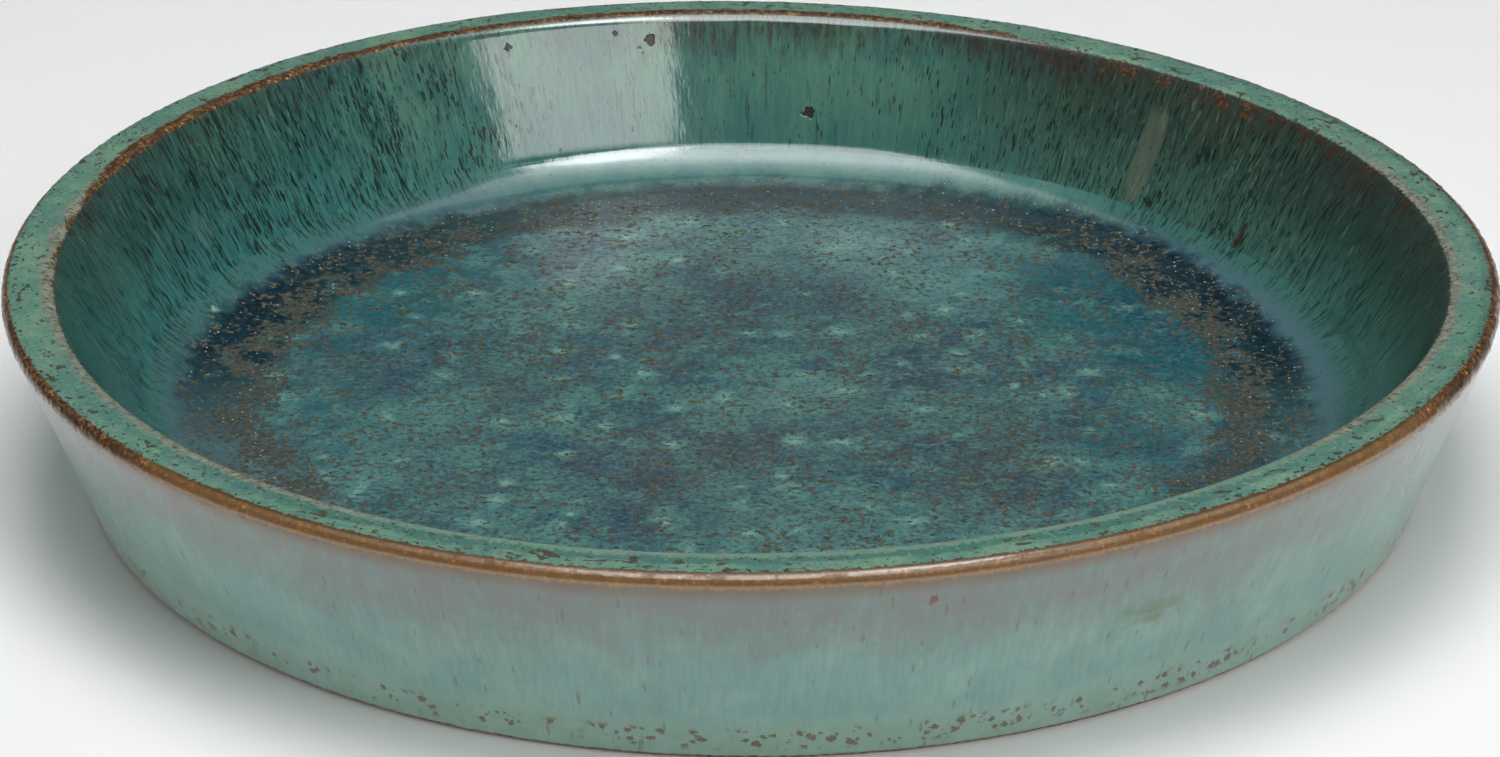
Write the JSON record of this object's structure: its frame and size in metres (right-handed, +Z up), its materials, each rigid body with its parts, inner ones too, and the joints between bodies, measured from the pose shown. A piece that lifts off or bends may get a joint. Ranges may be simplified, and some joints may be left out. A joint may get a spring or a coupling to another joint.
{
  "type": "shallow plant bowl",
  "caption": "Shallow round stoneware bowl with a flared wall, a flat rim and a wide flat floor, to plant in or to stand pots in.",
  "frame": {"origin": "centre of the face that the bowl stands on", "axes": "+Z up along the bowl's axis of turning, towards the open side; +X to the right as seen from the front, -Y"},
  "size_m": [0.38, 0.38, 0.055],
  "materials": {
    "stoneware_clay": "bare fired clay, matt and granular",
    "floor_glaze": "pooled blue-green glaze with matt brown specks, satin",
    "inner_wall_glaze": "streaked dark green glaze, glossy",
    "rim_glaze": "light green speckled glaze, semi-gloss",
    "outer_wall_glaze": "grey-green glaze with faint streaks, glossy"
  },
  "bodies": {
    "root": {"stoneware_body": "stoneware_clay", "floor_glaze": "floor_glaze", "inner_wall_glaze": "inner_wall_glaze", "rim_glaze": "rim_glaze", "outer_wall_glaze": "outer_wall_glaze"}
  },
  "joints": []
}
